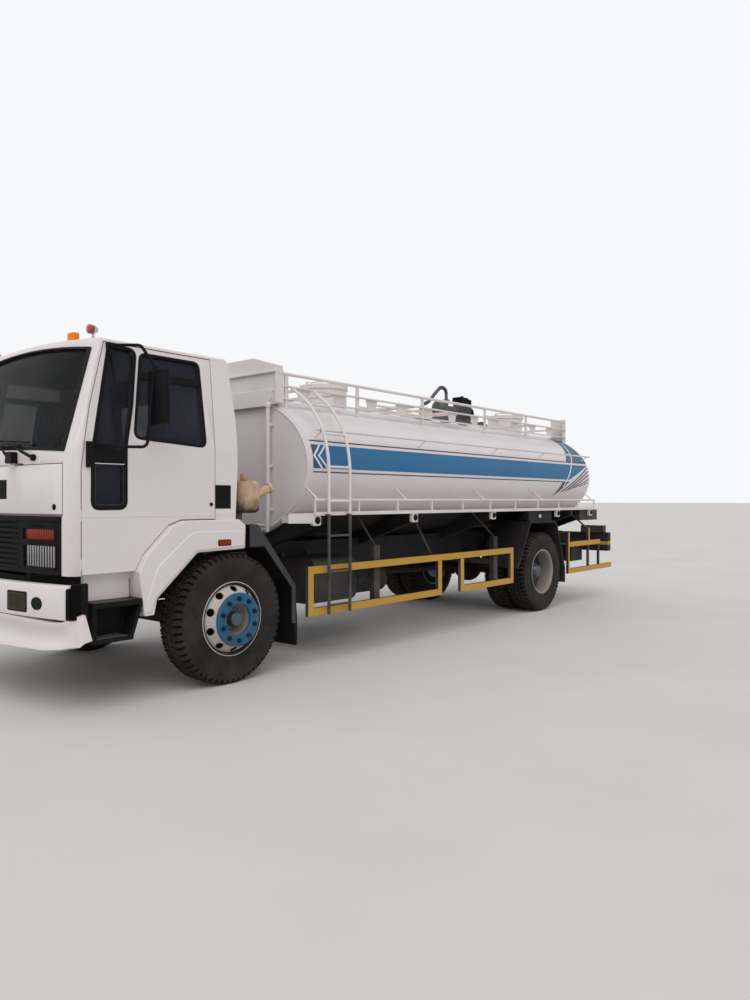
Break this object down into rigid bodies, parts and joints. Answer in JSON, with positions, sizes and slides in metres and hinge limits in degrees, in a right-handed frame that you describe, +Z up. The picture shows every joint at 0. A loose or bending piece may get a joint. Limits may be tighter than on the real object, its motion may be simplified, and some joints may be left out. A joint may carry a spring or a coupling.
{
  "type": "tanker truck",
  "caption": "Two-axle rigid tanker truck with a tilting forward-control cab, elliptical water tank, top walkway, ladder and side guards.",
  "frame": {"origin": "on the ground, at the middle of the bounding box", "axes": "front faces -Y, the truck's left side is +X, +Z is up"},
  "size_m": [2.9, 9.16, 3.0437],
  "materials": {
    "white_paint": "worn gloss",
    "chassis_black": "dusty satin",
    "black_plastic": "matt",
    "tyre_rubber": "dusty matt",
    "rim_silver": "dusty satin",
    "guard_yellow": "worn satin",
    "window_glass": "clear, tinted",
    "lamp_lens": "fluted",
    "amber_lens": "glossy",
    "red_lens": "glossy",
    "cab_trim": "woven and moulded",
    "mirror_black": "matt",
    "axle_steel": "oily, dusty",
    "pump_grey": "satin",
    "tank_plastic": "translucent, stained",
    "tank_aluminium": "dull"
  },
  "bodies": {
    "chassis": {"chassis_frame": "chassis_black", "engine_and_drive": "axle_steel", "front_axle": "axle_steel", "rear_axle": "axle_steel", "leaf_springs": "axle_steel", "front_bumper": "white_paint", "bumper_corners": "black_plastic", "front_mudguards": "black_plastic", "rear_fenders": "chassis_black", "tank_shell": "white_paint", "tank_cradle": "chassis_black", "hose_trays": "white_paint", "walkway": "white_paint", "head_pipe": "white_paint", "ladder": "white_paint", "pump_unit": "pump_grey", "expansion_tank": "tank_plastic", "fuel_tank": "tank_aluminium", "air_tanks": "chassis_black", "side_guards": "guard_yellow", "rear_bumper": "chassis_black", "rear_lamps": "red_lens", "outlet_pipe": "chassis_black"},
    "cab": {"cab_floor": "white_paint", "cab_front": "white_paint", "cab_rear": "white_paint", "cab_roof": "white_paint", "cab_glass": "window_glass", "cab_interior": "cab_trim", "grille_panel": "black_plastic", "front_lamps": "lamp_lens", "front_fenders": "white_paint", "cab_steps": "black_plastic", "roof_lamps": "amber_lens"},
    "door_left": {"door_left": "white_paint", "door_glass_left": "window_glass", "mirror_left": "mirror_black"},
    "door_right": {"door_right": "white_paint", "door_glass_right": "window_glass", "mirror_right": "mirror_black"},
    "front_flap": {"front_flap": "white_paint"},
    "steering_wheel": {"steering_wheel": "cab_trim"},
    "knuckle_left": {"knuckle_left": "axle_steel"},
    "knuckle_right": {"knuckle_right": "axle_steel"},
    "wheel_front_left": {"rim_front_left": "rim_silver", "tyre_front_left": "tyre_rubber"},
    "wheel_front_right": {"rim_front_right": "rim_silver", "tyre_front_right": "tyre_rubber"},
    "wheel_rear_left": {"rims_rear_left": "rim_silver", "tyres_rear_left": "tyre_rubber"},
    "wheel_rear_right": {"rims_rear_right": "rim_silver", "tyres_rear_right": "tyre_rubber"},
    "manhole_lid_front": {"manhole_lid_1": "white_paint"},
    "manhole_lid_rear": {"manhole_lid_2": "white_paint"}
  },
  "joints": [
    {"name": "cab_tilt", "type": "hinge", "parent": "chassis", "child": "cab", "pos_m": [0, -4.35, 1.01], "axis": [1, 0, 0], "range_deg": [0, 50]},
    {"name": "flap_lift", "type": "hinge", "parent": "cab", "child": "front_flap", "pos_m": [0, -4.501, 1.739], "axis": [-1, 0, 0], "range_deg": [0, 70]},
    {"name": "steering_turn", "type": "hinge", "parent": "cab", "child": "steering_wheel", "pos_m": [0.56, -4.045, 1.88], "axis": [0, 0.5, 0.866], "range_deg": [-630, 630]},
    {"name": "door_left_open", "type": "hinge", "parent": "cab", "child": "door_left", "pos_m": [1.146, -4.362, 1.21], "axis": [0, 0, -1], "range_deg": [0, 70]},
    {"name": "steer_left", "type": "hinge", "parent": "chassis", "child": "knuckle_left", "pos_m": [0.87, -3.08, 0.527], "axis": [0, 0, 1], "range_deg": [-35, 35]},
    {"name": "wheel_front_left_roll", "type": "hinge", "parent": "knuckle_left", "child": "wheel_front_left", "pos_m": [1.06, -3.08, 0.527], "axis": [1, 0, 0], "continuous": true},
    {"name": "wheel_rear_left_roll", "type": "hinge", "parent": "chassis", "child": "wheel_rear_left", "pos_m": [0.8925, 2.22, 0.527], "axis": [1, 0, 0], "continuous": true},
    {"name": "door_right_open", "type": "hinge", "parent": "cab", "child": "door_right", "pos_m": [-1.146, -4.362, 1.21], "axis": [0, 0, 1], "range_deg": [0, 70]},
    {"name": "steer_right", "type": "hinge", "parent": "chassis", "child": "knuckle_right", "pos_m": [-0.87, -3.08, 0.527], "axis": [0, 0, 1], "range_deg": [-35, 35]},
    {"name": "wheel_front_right_roll", "type": "hinge", "parent": "knuckle_right", "child": "wheel_front_right", "pos_m": [-1.06, -3.08, 0.527], "axis": [1, 0, 0], "continuous": true},
    {"name": "wheel_rear_right_roll", "type": "hinge", "parent": "chassis", "child": "wheel_rear_right", "pos_m": [-0.8925, 2.22, 0.527], "axis": [1, 0, 0], "continuous": true},
    {"name": "lid_front_open", "type": "hinge", "parent": "chassis", "child": "manhole_lid_front", "pos_m": [0, -0.48, 2.7525], "axis": [-1, 0, 0], "range_deg": [0, 110]},
    {"name": "lid_rear_open", "type": "hinge", "parent": "chassis", "child": "manhole_lid_rear", "pos_m": [0, 3.57, 2.7525], "axis": [-1, 0, 0], "range_deg": [0, 110]}
  ],
  "couplings": [
    {"joint": "steer_right", "follows": "steer_left", "ratio": 1},
    {"joint": "steering_turn", "follows": "steer_left", "ratio": 18}
  ]
}
